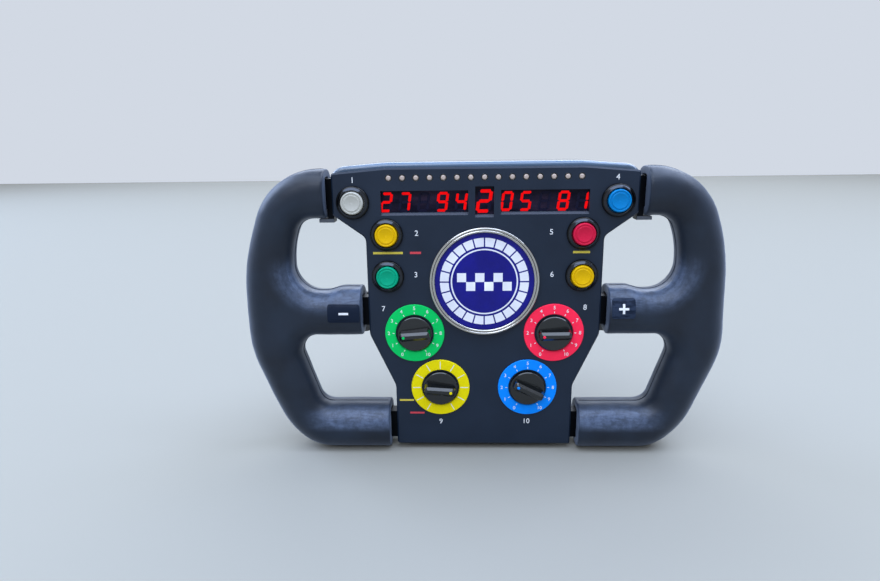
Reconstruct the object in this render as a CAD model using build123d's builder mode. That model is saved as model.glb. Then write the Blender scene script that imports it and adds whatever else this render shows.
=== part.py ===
from build123d import *
from math import cos, radians, sin
import os

# Steering wheel of an open wheel racing car, off its column.
# Millimetres. +Z is up, the driver looks along +Y and +X is on the driver's right.
# The origin is the middle of the quick-release pilot bore, on the axis the wheel turns about.

os.makedirs("parts", exist_ok=True)

# Layers from the driver's side to the column's side
face_y = -74.0
plate_thickness = 4.0
armature_thickness = 8.0
housing_depth = 24.0
plate_back_y = face_y + plate_thickness
armature_back_y = plate_back_y + armature_thickness
housing_back_y = armature_back_y + housing_depth
grip_mid_y = plate_back_y + armature_thickness / 2

# Display windows
window_gear_width = 11.9
window_gear_height = 18.0
window_gear_z = 45.6
window_side_height = 14.4
window_side_z = 45.3
window_post = 2.45
window_button_gap = 5.65
window_sill = 1.5
window_lip = 0.7
display_border = 1.0
display_depth = 5.0
display_fit = 0.2

# Shift lamps, in a row above the middle window
lamp_count = 15
lamp_pitch = 7.62
lamp_gap = 4.3
lamp_radius = 1.5
lamp_base_radius = 1.9
lamp_fit = 0.05
lamp_slot_gap = 0.1
lamp_recess = 1.5
lamp_stand = 0.3
lamp_round = 0.9
lamp_z = window_gear_z + window_gear_height / 2 + lamp_gap

# Outline of the faceplate, right half; its crown spans the row of lamps
crown_rise = 5.5
crown_margin = 1.66
crown_z = lamp_z + crown_rise
crown_half = lamp_pitch * (lamp_count - 1) / 2 + crown_margin
crown_drop = 2.6
top_corner_z = crown_z - crown_drop
top_half = 85.5
shoulder_z = 38.5
waist_half = 67.3
notch_z = 25.5
taper_z = -32.0
foot_half = 52.7
foot_top_z = -64.3
foot_z = -102.7
crown_radius = 60.0
corner_radius = 1.5
notch_radius = 5.0
bend_radius = 8.0
plate_edge_chamfer = 0.9

# Armature plate and the lugs that carry the grips
armature_inset = 1.2
armature_corner = 5.0
lug_depth = 14.0
lug_height = 17.0
lug_fit = 0.15
stop_reach = 5.0
stop_height = 2.0

# Rear housing, a moulded tub with screw posts inside; its brow reaches over the armature's top
# edge and lies against the back of the faceplate
housing_rise = 2.8
housing_flare = 2.0
housing_inset = 0.8
housing_wall = 2.9
housing_corner = 9.0
housing_back_fillet = 6.0
housing_brow_fillet = 2.2
housing_brow_gap = 0.4
post_radius = 4.5
post_inset = 9.0
post_top_out = 7.0
post_top_down = 4.5
screw_radius = 1.6
screw_head_radius = 3.0
screw_head_depth = 2.0

# Grips: the tubes that run to the middle, and the upright tube that the hand closes round
grip_gap = 3.6
grip_depth = 29.0
grip_edge_fillet = 12.0
grip_end_fillet = 1.2
top_tube = 28.4
spoke_tube = 29.6
spoke_low_z = -33.4
foot_tube = 28.7
foot_drop = 2.9
grip_reach = 54.7
hand_tube = 29.8
top_prong_high_z = crown_z
top_prong_low_z = top_prong_high_z - top_tube
spoke_high_z = spoke_low_z + spoke_tube
foot_prong_low_z = foot_z - foot_drop
foot_prong_high_z = foot_prong_low_z + foot_tube
hand_outer_x = top_half + grip_reach
hand_inner_x = hand_outer_x - hand_tube

# How far in from the hand tube's outer side the outline turns, at which height and how roundly
grip_crown_in = 17.7
grip_crown_round = 40.0
grip_palm_top_z = 8.0
grip_palm_top_round = 110.0
grip_palm_low_z = -42.0
grip_palm_low_round = 70.0
grip_heel_in = 18.7
grip_heel_z = -89.0
grip_heel_round = 50.0
grip_foot_in = 36.2
grip_foot_round = 26.0

# The same for the two finger openings, from the hand tube's inner side
lower_corner_in = 12.2
lower_corner_round = 8.0
lower_side_in = 1.2
lower_side_z = -44.0
lower_side_round = 8.0
lower_top_in = 4.2
lower_top_round = 10.0
thumb_rise_in = 26.9
thumb_dip_in = 19.4
thumb_dip = 2.4
thumb_round = 14.0
upper_corner_round = 15.0
upper_side_z = 20.0
upper_side_round = 60.0
upper_top_in = 5.9
upper_top_round = 9.0

# Push buttons, two at the top corners and four in columns beside the badge
bezel_radius = 9.3
bezel_height = 2.2
bezel_round = 1.2
bezel_bore = 7.0
bezel_barrel_radius = 8.2
bezel_fit = 0.1
bezel_depth = 14.0
bezel_floor = 2.0
cap_fit = 0.08
cap_inset = 0.65
cap_skirt_down = 2.4
cap_stand = 2.6
cap_travel = 1.6
cap_round = 0.7
cap_rim = 1.1
cap_groove_width = 0.5
cap_groove_depth = 0.3
cap_land = 0.6
cap_dish = 0.6
top_button_inset = 11.75
column_button_inset = 12.0
column_high_z = 27.3
column_low_z = 3.2
top_button_x = top_half - top_button_inset
column_button_x = waist_half - column_button_inset

# Rotary dials
dial_radius = 17.4
dial_bore = 11.2
dial_thickness = 1.0
dial_chamfer = 0.3
upper_dial_x = 40.6
upper_dial_z = -31.0
lower_dial_x = 25.9
lower_dial_z = -65.1
knob_radius = 10.3
knob_gap = 0.4
knob_skirt = 2.8
knob_skirt_chamfer = 0.4
knob_height = 10.0
fin_tail = 9.6
fin_head = 9.0
fin_base_width = 5.8
fin_top_width = 4.2
fin_round = 1.6
fin_taper = 0.6
fin_drop = 2.4
fin_chamfer = 1.3
pointer_dot_radius = 0.9
pointer_dot_inset = 2.0
pointer_dot_depth = 0.3
shaft_radius = 3.0
shaft_length = 18.0
shaft_fit = 0.06
bushing_radius = 5.4
bushing_fit = 0.05
nut_radius = 8.0
nut_sides = 6
nut_thickness = 2.5

# Round badge in the middle: its rim is two half-round beads side by side, bead is their radius
badge_radius = 31.4
bead = 0.75
bead_count = 2
badge_height = 3.2
badge_disc_height = 1.6
badge_disc_crown = 0.5
badge_fit = 0.05
badge_bore = badge_radius - bead_count * 2 * bead

# Quick-release hub, its bore is the mount
pilot_radius = 13.0
pilot_length = 16.0
mouth_chamfer = 0.5
spline_radius = 11.2
spline_root_radius = 12.4
spline_width = 2.1
spline_count = 16
spline_length = 18.0
hub_flange_rim = 6.5
hub_flange_thickness = 5.0
hub_flange_chamfer = 1.0
hub_barrel_radius = 20.0
hub_spigot_step = 2.0
hub_spigot_fit = 0.1
hub_root_fillet = 2.0
hub_screw_count = 6
hub_screw_out = 7.5
hub_screw_radius = 2.6
hub_screw_head_radius = 4.4
hub_screw_head_depth = 3.0
hub_spigot_radius = hub_barrel_radius + hub_spigot_step
hub_screw_circle = hub_barrel_radius + hub_screw_out
hub_flange_radius = hub_screw_circle + hub_flange_rim
hub_rear_y = pilot_length / 2 + mouth_chamfer
hub_flange_back_y = housing_back_y + hub_flange_thickness

# Release collar, pulled towards the driver
collar_fit = 0.08
collar_thickness = 5.5
collar_lip = 3.5
collar_lip_length = 5.0
collar_lip_round = 1.5
collar_length = 20.0
collar_scallops = 14
collar_scallop_radius = 4.0
collar_scallop_depth = 1.0
collar_radius = hub_barrel_radius + collar_thickness
collar_lip_radius = collar_radius + collar_lip
ring_width = 1.6
ring_groove = 0.8
ring_stand = 3.0
ring_set_back = 2.0
ring_radius = hub_barrel_radius + ring_stand

# Shift paddles on upright pins behind the spokes, their tips bent towards the driver
paddle_pivot_x = 49.0
paddle_pivot_back = 8.5
paddle_z = -30.0
paddle_barrel_radius = 4.6
paddle_barrel_height = 26.0
paddle_thickness = 3.5
paddle_neck = 13.0
paddle_flare = 13.0
paddle_length = 59.0
paddle_bend_x = 34.0
paddle_bend = 5.0
paddle_bend_radius = 60.0
paddle_root_height = 16.0
paddle_tip_height = 27.0
paddle_corner = 6.0
pin_radius = 2.0
pin_fit = 0.05
ear_thickness = 4.0
ear_gap = 0.3
bracket_width = 13.0
bracket_base = 3.0
pivot_y = housing_back_y + paddle_pivot_back

# Electrical connector under the hub
connector_z = -72.0
connector_radius = 9.0
connector_length = 9.0
connector_wall = 2.0
connector_recess = 6.0
connector_flange = 12.0
connector_flange_thickness = 2.0

# name, x, z
buttons = [
    ("white", -top_button_x, window_gear_z),
    ("yellow_left", -column_button_x, column_high_z),
    ("green", -column_button_x, column_low_z),
    ("blue", top_button_x, window_gear_z),
    ("red", column_button_x, column_high_z),
    ("yellow_right", column_button_x, column_low_z),
]

# name, x, z, where the pointer rests in degrees anticlockwise from +X as the driver sees it
dials = [
    ("green", -upper_dial_x, upper_dial_z, 187.0),
    ("red", upper_dial_x, upper_dial_z, 184.0),
    ("yellow", -lower_dial_x, lower_dial_z, -8.0),
    ("blue", lower_dial_x, lower_dial_z, 157.0),
]

# name, x, z, width, height
side_inner_x = window_gear_width / 2 + window_post
side_outer_x = top_button_x - bezel_radius - window_button_gap
side_x = (side_inner_x + side_outer_x) / 2
side_width = side_outer_x - side_inner_x
windows = [
    ("left", -side_x, window_side_z, side_width, window_side_height),
    ("gear", 0.0, window_gear_z, window_gear_width, window_gear_height),
    ("right", side_x, window_side_z, side_width, window_side_height),
]

# x, z of the screw posts in the housing, right side
posts = [
    (crown_half + post_top_out, top_corner_z - post_top_down),
    (waist_half - post_inset, taper_z + 2 * post_inset),
    (foot_half - post_inset, foot_z + post_inset),
]

# name, middle height and the half width of the plate beside it
prongs = [
    ("top", (top_prong_low_z + top_prong_high_z) / 2, top_half),
    ("spoke", (spoke_low_z + spoke_high_z) / 2, waist_half),
    ("foot", (foot_prong_low_z + foot_prong_high_z) / 2, foot_half),
]


def driver_plane(y, x=0.0, z=0.0, angle=0.0):
    """A plane at depth y that faces the driver, turned by angle about its own normal."""
    along = (cos(radians(angle)), 0, sin(radians(angle)))
    return Plane(origin=(x, y, z), x_dir=along, z_dir=(0, -1, 0))


def lathe_plane(x=0.0, z=0.0):
    """A level plane through a turned piece's axis: first the radius, then the depth y."""
    return Plane(origin=(x, 0, z), x_dir=(1, 0, 0), z_dir=(0, 0, 1))


def lathe_axis(x=0.0, z=0.0):
    return Axis(origin=(x, 0, z), direction=(0, 1, 0))


def centre_outline(rise=0.0, flare=0.0, soft=0.0):
    """Draws the faceplate's outline. rise lifts the top, flare widens it, soft rounds it more."""
    corners = [
        (crown_half, crown_z + rise, crown_radius),
        (top_half + flare, top_corner_z + rise, corner_radius + soft),
        (top_half + flare, shoulder_z, corner_radius + soft),
        (waist_half, notch_z, notch_radius + soft),
        (waist_half, taper_z, bend_radius),
        (foot_half, foot_top_z, bend_radius),
        (foot_half, foot_z, corner_radius + soft),
    ]
    points = [(0, crown_z + rise)] + [(x, z) for x, z, radius in corners] + [(0, foot_z)]
    with BuildLine() as edge:
        FilletPolyline(*points, radius=[radius for x, z, radius in corners])
        mirror(about=Plane.YZ)
    make_face(edge.edges())


def housing_outline(inset):
    """The tub's outline, drawn a little large and drawn in again, so that its notches round off."""
    centre_outline(housing_rise + housing_inset, housing_flare + housing_inset, housing_corner)
    offset(amount=-housing_inset - inset)


def finish(piece, name):
    piece.part.label = name
    export_step(piece.part, f"parts/{name}.step")


# Faceplate with its windows and holes
with BuildPart() as face_plate:
    with BuildSketch(driver_plane(plate_back_y)):
        centre_outline()
    extrude(amount=plate_thickness)
    rim = face_plate.faces().sort_by(Axis.Y)[0].outer_wire().edges()
    chamfer(rim, length=plate_edge_chamfer)
    for name, x, z, width, height in windows:
        clear_width = width - 2 * window_lip
        clear_height = height - window_lip - window_sill
        clear_z = z + (window_sill - window_lip) / 2
        with BuildSketch(driver_plane(plate_back_y, x, clear_z)):
            Rectangle(clear_width, clear_height)
        extrude(amount=plate_thickness, mode=Mode.SUBTRACT)
        front = face_plate.faces().sort_by(Axis.Y)[0]
        sill_z = clear_z - clear_height / 2
        sill = front.edges().filter_by_position(Axis.Z, sill_z - window_lip, sill_z + window_lip)
        sill = sill.filter_by_position(Axis.X, x - width / 2, x + width / 2)
        chamfer(sill, length=window_sill)
    with BuildSketch(driver_plane(plate_back_y)):
        with Locations((0, lamp_z)):
            with GridLocations(lamp_pitch, 0, lamp_count, 1):
                Circle(lamp_base_radius + lamp_fit)
        with Locations(*[(x, z) for name, x, z in buttons]):
            Circle(bezel_barrel_radius + bezel_fit)
        with Locations(*[(x, z) for name, x, z, angle in dials]):
            Circle(bushing_radius + bushing_fit)
    extrude(amount=plate_thickness, mode=Mode.SUBTRACT)
finish(face_plate, "face_plate")

# Armature plate behind the faceplate; its lugs reach into the grips, and a small foot on each
# side stops the top end of the grip
with BuildPart() as armature:
    with BuildSketch(driver_plane(armature_back_y)):
        centre_outline(soft=armature_corner)
        offset(amount=-armature_inset)
        for name, z, half in prongs:
            with Locations((0, z)):
                Rectangle(2 * (half + grip_gap + lug_depth), lug_height)
        for side in (-1, 1):
            stop_z = top_prong_low_z - stop_height
            neck_top_z = prongs[0][1]
            neck_x = top_half + grip_gap / 2
            with Locations((side * neck_x, (stop_z + neck_top_z) / 2)):
                Rectangle(grip_gap, neck_top_z - stop_z)
            with Locations((side * (neck_x + stop_reach / 2), stop_z + stop_height / 2)):
                Rectangle(grip_gap + stop_reach, stop_height)
        for name, x, z, width, height in windows:
            with Locations((x, z)):
                frame = 2 * (display_border + display_fit)
                Rectangle(width + frame, height + frame, mode=Mode.SUBTRACT)
        with Locations(*[(x, z) for name, x, z in buttons]):
            Circle(bezel_barrel_radius + bezel_fit, mode=Mode.SUBTRACT)
        with Locations(*[(x, z) for name, x, z, angle in dials]):
            Circle(bushing_radius + bushing_fit, mode=Mode.SUBTRACT)
        with Locations((0, lamp_z)):
            slot_height = 2 * (lamp_base_radius + lamp_slot_gap)
            Rectangle(lamp_pitch * lamp_count, slot_height, mode=Mode.SUBTRACT)
    extrude(amount=armature_thickness)
finish(armature, "armature")

# Rear housing, a moulded tub that opens towards the armature, with posts for its screws
with BuildPart() as housing:
    brow_z = prongs[0][1] + lug_height / 2 + housing_brow_gap
    brow_clear = brow_z - foot_z + housing_rise
    with BuildSketch(driver_plane(housing_back_y)):
        housing_outline(0)
    extrude(amount=housing_back_y - plate_back_y)
    back = housing.faces().sort_by(Axis.Y)[-1].edges()
    fillet(back, radius=housing_back_fillet)
    front = housing.faces().sort_by(Axis.Y)[0].edges()
    fillet(front, radius=housing_brow_fillet)
    with BuildSketch(driver_plane(housing_back_y - housing_wall)):
        housing_outline(housing_wall)
    extrude(amount=housing_depth + armature_thickness - housing_wall, mode=Mode.SUBTRACT)
    with Locations((0, grip_mid_y, brow_z - brow_clear / 2)):
        Box(2 * hand_outer_x, armature_thickness, brow_clear, mode=Mode.SUBTRACT)
    post_places = [(side * x, z) for x, z in posts for side in (-1, 1)]
    with BuildSketch(driver_plane(housing_back_y - housing_wall)):
        with Locations(*post_places):
            Circle(post_radius)
    extrude(amount=housing_depth - housing_wall)
    with BuildSketch(driver_plane(housing_back_y)):
        with Locations(*post_places):
            Circle(screw_radius)
    extrude(amount=housing_depth, mode=Mode.SUBTRACT)
    with BuildSketch(driver_plane(housing_back_y)):
        with Locations(*post_places):
            Circle(screw_head_radius)
    extrude(amount=screw_head_depth, mode=Mode.SUBTRACT)
    with BuildSketch(driver_plane(housing_back_y)):
        Circle(hub_spigot_radius + hub_spigot_fit)
    extrude(amount=housing_wall, mode=Mode.SUBTRACT)
finish(housing, "housing")

# Right grip, moulded as one piece: an upright hand tube and three prongs round two finger openings
with BuildPart() as grip_right:
    top_end = top_half + grip_gap
    spoke_end = waist_half + grip_gap
    foot_end = foot_half + grip_gap
    thumb_dip_z = spoke_high_z - thumb_dip
    with BuildSketch(driver_plane(grip_mid_y + grip_depth / 2)):
        with BuildLine():
            FilletPolyline(
                (top_end, top_prong_high_z),
                (hand_outer_x - grip_crown_in, top_prong_high_z),
                (hand_outer_x, grip_palm_top_z),
                (hand_outer_x, grip_palm_low_z),
                (hand_outer_x - grip_heel_in, grip_heel_z),
                (hand_outer_x - grip_foot_in, foot_prong_low_z),
                (foot_end, foot_prong_low_z),
                radius=[
                    grip_crown_round,
                    grip_palm_top_round,
                    grip_palm_low_round,
                    grip_heel_round,
                    grip_foot_round,
                ],
            )
            Line((foot_end, foot_prong_low_z), (foot_end, foot_prong_high_z))
            FilletPolyline(
                (foot_end, foot_prong_high_z),
                (hand_inner_x - lower_corner_in, foot_prong_high_z),
                (hand_inner_x - lower_side_in, lower_side_z),
                (hand_inner_x - lower_top_in, spoke_low_z),
                (spoke_end, spoke_low_z),
                radius=[lower_corner_round, lower_side_round, lower_top_round],
            )
            Line((spoke_end, spoke_low_z), (spoke_end, spoke_high_z))
            FilletPolyline(
                (spoke_end, spoke_high_z),
                (hand_inner_x - thumb_rise_in, spoke_high_z),
                (hand_inner_x - thumb_dip_in, thumb_dip_z),
                (hand_inner_x, thumb_dip_z),
                (hand_inner_x, upper_side_z),
                (hand_inner_x - upper_top_in, top_prong_low_z),
                (top_end, top_prong_low_z),
                radius=[
                    thumb_round,
                    thumb_round,
                    upper_corner_round,
                    upper_side_round,
                    upper_top_round,
                ],
            )
            Line((top_end, top_prong_low_z), (top_end, top_prong_high_z))
        make_face()
    extrude(amount=grip_depth)
    flanks = grip_right.faces().filter_by(Axis.Y).edges()
    for end in (top_end, spoke_end, foot_end):
        flanks = flanks.filter_by(lambda edge: abs(edge.center().X - end) > grip_end_fillet)
    fillet(flanks, radius=grip_edge_fillet)
    for name, z, half in prongs:
        tip = grip_right.faces().filter_by(Axis.X).filter_by_position(Axis.X, half, half + 2 * grip_gap)
        fillet(tip.edges(), radius=grip_end_fillet)
    for name, z, half in prongs:
        socket = lug_depth + lug_fit
        thickness = armature_thickness + 2 * lug_fit
        height = lug_height + 2 * lug_fit
        with Locations((half + grip_gap + socket / 2, grip_mid_y, z)):
            Box(socket, thickness, height, mode=Mode.SUBTRACT)
finish(grip_right, "grip_right")

with BuildPart() as grip_left:
    mirror(grip_right.part, about=Plane.YZ)
finish(grip_left, "grip_left")

# Display modules, each seated on the back of the faceplate behind its window
for name, x, z, width, height in windows:
    with BuildPart() as display:
        with BuildSketch(driver_plane(plate_back_y + display_depth, x, z)):
            Rectangle(width + 2 * display_border, height + 2 * display_border)
        extrude(amount=display_depth)
    finish(display, f"display_{name}")

# Shift lamps: a lens on a wider base in each hole
with BuildPart() as shift_lamps:
    with BuildSketch(driver_plane(plate_back_y)):
        with Locations((0, lamp_z)):
            with GridLocations(lamp_pitch, 0, lamp_count, 1):
                Circle(lamp_base_radius)
    extrude(amount=plate_thickness - lamp_recess)
    with BuildSketch(driver_plane(face_y + lamp_recess)):
        with Locations((0, lamp_z)):
            with GridLocations(lamp_pitch, 0, lamp_count, 1):
                Circle(lamp_radius)
    extrude(amount=lamp_recess + lamp_stand)
    fillet(shift_lamps.faces().sort_by(Axis.Y)[:lamp_count].edges(), radius=lamp_round)
finish(shift_lamps, "shift_lamps")

# Bezels of the push buttons: a rounded flange on the faceplate and a closed barrel behind it
with BuildPart() as button_bezels:
    for name, x, z in buttons:
        back_y = face_y + bezel_depth
        front_y = face_y - bezel_height
        with BuildSketch(lathe_plane(x, z)):
            with BuildLine():
                Polyline(
                    (0, back_y),
                    (bezel_barrel_radius, back_y),
                    (bezel_barrel_radius, face_y),
                    (bezel_radius, face_y),
                    (bezel_radius, front_y + bezel_round),
                )
                RadiusArc(
                    (bezel_radius, front_y + bezel_round),
                    (bezel_radius - bezel_round, front_y),
                    bezel_round,
                )
                Polyline(
                    (bezel_radius - bezel_round, front_y),
                    (bezel_bore, front_y),
                    (bezel_bore, back_y - bezel_floor),
                    (0, back_y - bezel_floor),
                    (0, back_y),
                )
            make_face()
        revolve(axis=lathe_axis(x, z))
finish(button_bezels, "button_bezels")

# Button caps: a dished face with a groove round it, on a wider skirt that runs in the bezel
for name, x, z in buttons:
    skirt_radius = bezel_bore - cap_fit
    cap_radius = skirt_radius - cap_inset
    groove_outer = cap_radius - cap_rim
    groove_inner = groove_outer - cap_groove_width
    dish_radius = groove_inner - cap_land
    front_y = face_y - bezel_height - cap_stand
    groove_y = front_y + cap_groove_depth
    skirt_y = face_y - bezel_height + cap_skirt_down
    back_y = face_y + bezel_depth - bezel_floor - cap_travel - cap_fit
    with BuildPart() as cap:
        with BuildSketch(lathe_plane(x, z)):
            with BuildLine():
                TangentArc((0, front_y + cap_dish), (dish_radius, front_y), tangent=(1, 0))
                Polyline(
                    (dish_radius, front_y),
                    (groove_inner - cap_groove_depth, front_y),
                    (groove_inner, groove_y),
                    (groove_outer, groove_y),
                    (groove_outer + cap_groove_depth, front_y),
                    (cap_radius - cap_round, front_y),
                )
                RadiusArc(
                    (cap_radius - cap_round, front_y),
                    (cap_radius, front_y + cap_round),
                    -cap_round,
                )
                Polyline(
                    (cap_radius, front_y + cap_round),
                    (cap_radius, skirt_y),
                    (skirt_radius, skirt_y),
                    (skirt_radius, back_y),
                    (0, back_y),
                    (0, front_y + cap_dish),
                )
            make_face()
        revolve(axis=lathe_axis(x, z))
    finish(cap, f"button_{name}")

# Coloured scale rings of the dials
for name, x, z, angle in dials:
    with BuildPart() as scale_ring:
        with BuildSketch(driver_plane(face_y, x, z)):
            Circle(dial_radius)
            Circle(dial_bore, mode=Mode.SUBTRACT)
        extrude(amount=dial_thickness)
        chamfer(scale_ring.faces().sort_by(Axis.Y)[0].edges(), length=dial_chamfer)
    finish(scale_ring, f"dial_ring_{name}")

# Threaded bushings that carry the dial shafts, with their nuts behind the armature
with BuildPart() as dial_bushings:
    for name, x, z, angle in dials:
        with BuildSketch(driver_plane(armature_back_y, x, z)):
            Circle(bushing_radius)
            Circle(shaft_radius + shaft_fit, mode=Mode.SUBTRACT)
        extrude(amount=armature_back_y - face_y)
        with BuildSketch(driver_plane(armature_back_y + nut_thickness, x, z)):
            RegularPolygon(nut_radius, nut_sides)
            Circle(shaft_radius + shaft_fit, mode=Mode.SUBTRACT)
        extrude(amount=nut_thickness)
finish(dial_bushings, "dial_bushings")

# Dial knobs: a low round skirt, a tall fin that slopes down to its pointer end, and the shaft
for name, x, z, angle in dials:
    skirt_back_y = face_y - knob_gap
    skirt_front_y = skirt_back_y - knob_skirt
    fin_middle = (fin_head - fin_tail) / 2
    fin_length = fin_head + fin_tail
    fin_root = driver_plane(skirt_front_y, x, z, angle)
    fin_top = driver_plane(face_y - knob_height, x, z, angle)
    tail_top = fin_top.from_local_coords(Vector(-fin_tail, 0, 0))
    head_top = fin_top.from_local_coords(Vector(fin_head, 0, -fin_drop))
    ridge = head_top - tail_top
    slope = Plane(origin=tail_top, x_dir=ridge, z_dir=ridge.cross(fin_top.y_dir))
    with BuildPart() as knob:
        with BuildSketch(driver_plane(skirt_back_y, x, z)):
            Circle(knob_radius)
        extrude(amount=knob_skirt)
        chamfer(knob.faces().sort_by(Axis.Y)[0].edges(), length=knob_skirt_chamfer)
        with BuildSketch(fin_root):
            with Locations((fin_middle, 0)):
                RectangleRounded(fin_length, fin_base_width, fin_round)
        with BuildSketch(fin_top):
            with Locations((fin_middle, 0)):
                RectangleRounded(fin_length - 2 * fin_taper, fin_top_width, fin_round)
        loft()
        split(bisect_by=slope, keep=Keep.BOTTOM)
        chamfer(knob.faces().sort_by(Axis.Y)[0].edges(), length=fin_chamfer)
        with BuildSketch(slope):
            with Locations((fin_length - fin_taper - pointer_dot_inset, 0)):
                Circle(pointer_dot_radius)
        extrude(amount=-pointer_dot_depth, mode=Mode.SUBTRACT)
        with BuildSketch(driver_plane(skirt_back_y, x, z)):
            Circle(shaft_radius)
        extrude(amount=-shaft_length)
    finish(knob, f"knob_{name}")

# Badge: a metal rim of two beads and a crowned enamel disc
with BuildPart() as badge_rim:
    bead_y = face_y - badge_height + bead
    with BuildSketch(lathe_plane()):
        with BuildLine():
            Polyline(
                (badge_bore, bead_y),
                (badge_bore, face_y),
                (badge_radius, face_y),
                (badge_radius, bead_y),
            )
            for centre in (badge_radius - bead, badge_bore + bead):
                ThreePointArc(
                    (centre + bead, bead_y),
                    (centre, bead_y - bead),
                    (centre - bead, bead_y),
                )
        make_face()
    revolve(axis=lathe_axis())
finish(badge_rim, "badge_rim")

with BuildPart() as badge_disc:
    disc_radius = badge_bore - badge_fit
    disc_edge_y = face_y - badge_disc_height
    with BuildSketch(lathe_plane()):
        with BuildLine():
            crown_y = disc_edge_y - badge_disc_crown
            Polyline((0, crown_y), (0, face_y), (disc_radius, face_y), (disc_radius, disc_edge_y))
            TangentArc((0, crown_y), (disc_radius, disc_edge_y), tangent=(1, 0))
        make_face()
    revolve(axis=lathe_axis())
finish(badge_disc, "badge_disc")

# Quick-release hub: spigot, flange and barrel, bored for the pilot and splined inside
with BuildPart() as hub:
    with BuildSketch(lathe_plane()):
        with BuildLine():
            Polyline(
                (0, hub_rear_y),
                (0, armature_back_y),
                (hub_spigot_radius, armature_back_y),
                (hub_spigot_radius, housing_back_y),
                (hub_flange_radius, housing_back_y),
                (hub_flange_radius, hub_flange_back_y - hub_flange_chamfer),
                (hub_flange_radius - hub_flange_chamfer, hub_flange_back_y),
                (hub_barrel_radius + hub_root_fillet, hub_flange_back_y),
            )
            RadiusArc(
                (hub_barrel_radius + hub_root_fillet, hub_flange_back_y),
                (hub_barrel_radius, hub_flange_back_y + hub_root_fillet),
                hub_root_fillet,
            )
            Polyline(
                (hub_barrel_radius, hub_flange_back_y + hub_root_fillet),
                (hub_barrel_radius, hub_rear_y),
                (0, hub_rear_y),
            )
        make_face()
    revolve(axis=lathe_axis())
    with BuildSketch(driver_plane(hub_rear_y)):
        Circle(pilot_radius)
    extrude(amount=pilot_length + mouth_chamfer, mode=Mode.SUBTRACT)
    with BuildSketch(driver_plane(hub_rear_y)):
        Circle(spline_radius)
        with PolarLocations(spline_radius, spline_count):
            Rectangle(2 * (spline_root_radius - spline_radius), spline_width)
    extrude(amount=pilot_length + mouth_chamfer + spline_length, mode=Mode.SUBTRACT)
    mouth = hub.faces().sort_by(Axis.Y)[-1].edges().sort_by(SortBy.RADIUS)[0]
    chamfer(mouth, length=mouth_chamfer)
    with BuildSketch(driver_plane(hub_flange_back_y)):
        with PolarLocations(hub_screw_circle, hub_screw_count):
            Circle(hub_screw_radius)
    extrude(amount=hub_flange_thickness, mode=Mode.SUBTRACT)
    with BuildSketch(driver_plane(hub_flange_back_y)):
        with PolarLocations(hub_screw_circle, hub_screw_count):
            Circle(hub_screw_head_radius)
    extrude(amount=hub_screw_head_depth, mode=Mode.SUBTRACT)
    ring_back_y = hub_rear_y - ring_set_back
    collar_back_y = ring_back_y - ring_width
    with BuildSketch(driver_plane(ring_back_y)):
        Circle(ring_radius)
        Circle(hub_barrel_radius - ring_groove, mode=Mode.SUBTRACT)
    extrude(amount=ring_width, mode=Mode.SUBTRACT)
finish(hub, "hub")

# Snap ring that keeps the release collar on the barrel
with BuildPart() as snap_ring:
    with BuildSketch(driver_plane(ring_back_y)):
        Circle(ring_radius)
        Circle(hub_barrel_radius - ring_groove, mode=Mode.SUBTRACT)
    extrude(amount=ring_width)
finish(snap_ring, "snap_ring")

# Release collar with a rounded finger lip and a scalloped grip
with BuildPart() as release_collar:
    lip_back_y = collar_back_y - collar_length + collar_lip_length
    with BuildSketch(driver_plane(collar_back_y)):
        Circle(collar_radius)
        scallop_circle = collar_radius + collar_scallop_radius - collar_scallop_depth
        with PolarLocations(scallop_circle, collar_scallops):
            Circle(collar_scallop_radius, mode=Mode.SUBTRACT)
    extrude(amount=collar_length)
    with BuildSketch(driver_plane(lip_back_y)):
        Circle(collar_lip_radius)
    extrude(amount=collar_lip_length)
    lip = release_collar.edges().filter_by(GeomType.CIRCLE)
    lip = lip.filter_by(lambda edge: edge.radius > (collar_radius + collar_lip_radius) / 2)
    fillet(lip, radius=collar_lip_round)
    with BuildSketch(driver_plane(collar_back_y)):
        Circle(hub_barrel_radius + collar_fit)
    extrude(amount=collar_length, mode=Mode.SUBTRACT)
finish(release_collar, "release_collar")

# Brackets, pins and paddles; each right one is mirrored for the left
with BuildPart() as paddle_bracket_right:
    fork_height = paddle_barrel_height + 2 * ear_gap + 2 * ear_thickness
    with Locations((paddle_pivot_x, housing_back_y + bracket_base / 2, paddle_z)):
        Box(bracket_width, bracket_base, fork_height)
    for side in (-1, 1):
        ear_z = paddle_z + side * (fork_height - ear_thickness) / 2
        with BuildSketch(Plane.XY.offset(ear_z - ear_thickness / 2)):
            with Locations((paddle_pivot_x, pivot_y)):
                Circle(bracket_width / 2)
            with Locations((paddle_pivot_x, (housing_back_y + pivot_y) / 2)):
                Rectangle(bracket_width, pivot_y - housing_back_y)
            with Locations((paddle_pivot_x, pivot_y)):
                Circle(pin_radius, mode=Mode.SUBTRACT)
        extrude(amount=ear_thickness)
finish(paddle_bracket_right, "paddle_bracket_right")

with BuildPart() as paddle_pin_right:
    with BuildSketch(Plane.XY.offset(paddle_z - fork_height / 2)):
        with Locations((paddle_pivot_x, pivot_y)):
            Circle(pin_radius)
    extrude(amount=fork_height)
finish(paddle_pin_right, "paddle_pin_right")

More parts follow.
